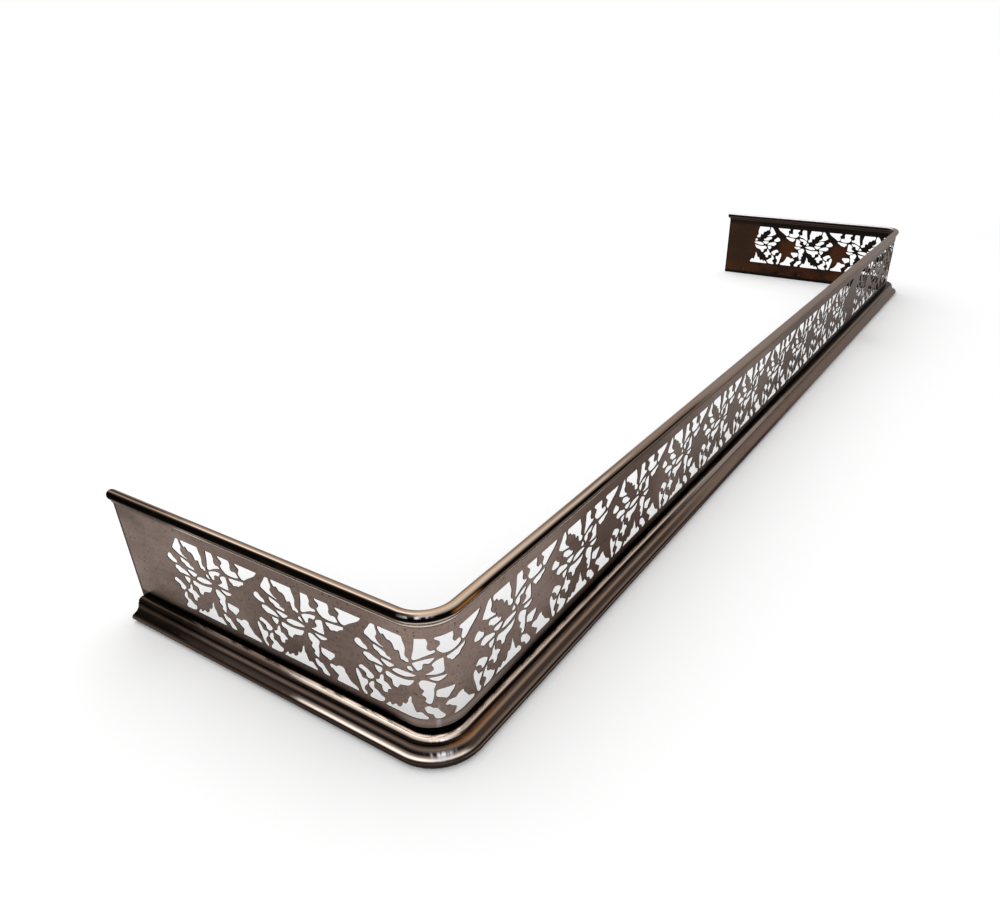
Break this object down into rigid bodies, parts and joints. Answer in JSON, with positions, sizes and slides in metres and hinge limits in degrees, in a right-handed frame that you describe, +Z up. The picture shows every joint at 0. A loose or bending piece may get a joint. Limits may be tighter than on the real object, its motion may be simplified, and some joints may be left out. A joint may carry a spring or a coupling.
{
  "type": "fire fender",
  "caption": "Low three-sided hearth fender: pierced foliate steel fret with rounded corners, wire-cored bead rail on top and hollow moulded plinth, open at the back.",
  "frame": {"origin": "on the floor under the middle of the whole fender", "axes": "+X along the front from left to right as seen from the room, +Y from the room towards the chimney breast, +Z up"},
  "size_m": [1.3766, 0.3388, 0.1124],
  "materials": {
    "fret_steel": "old cleaned steel sheet, satin grey-brown, lightly pitted outside, brown and unpolished inside",
    "rail_steel": "polished steel with a warm tarnish",
    "plinth_steel": "polished steel, darker and worn in the hollow",
    "dark_iron": "plain dark iron with a brown rust bloom",
    "rivet_iron": "hammered iron, rubbed bright on the heads"
  },
  "bodies": {
    "root": {"left_fret_sheet": "fret_steel", "right_fret_sheet": "fret_steel", "seam_strap": "dark_iron", "seam_rivets": "rivet_iron", "top_rail": "rail_steel", "rail_core": "dark_iron", "left_rail_cap": "rail_steel", "right_rail_cap": "rail_steel", "plinth_moulding": "plinth_steel", "left_plinth_end": "plinth_steel", "right_plinth_end": "plinth_steel", "plinth_rivets": "rivet_iron", "base_strip": "dark_iron", "base_rivets": "rivet_iron"}
  },
  "joints": []
}
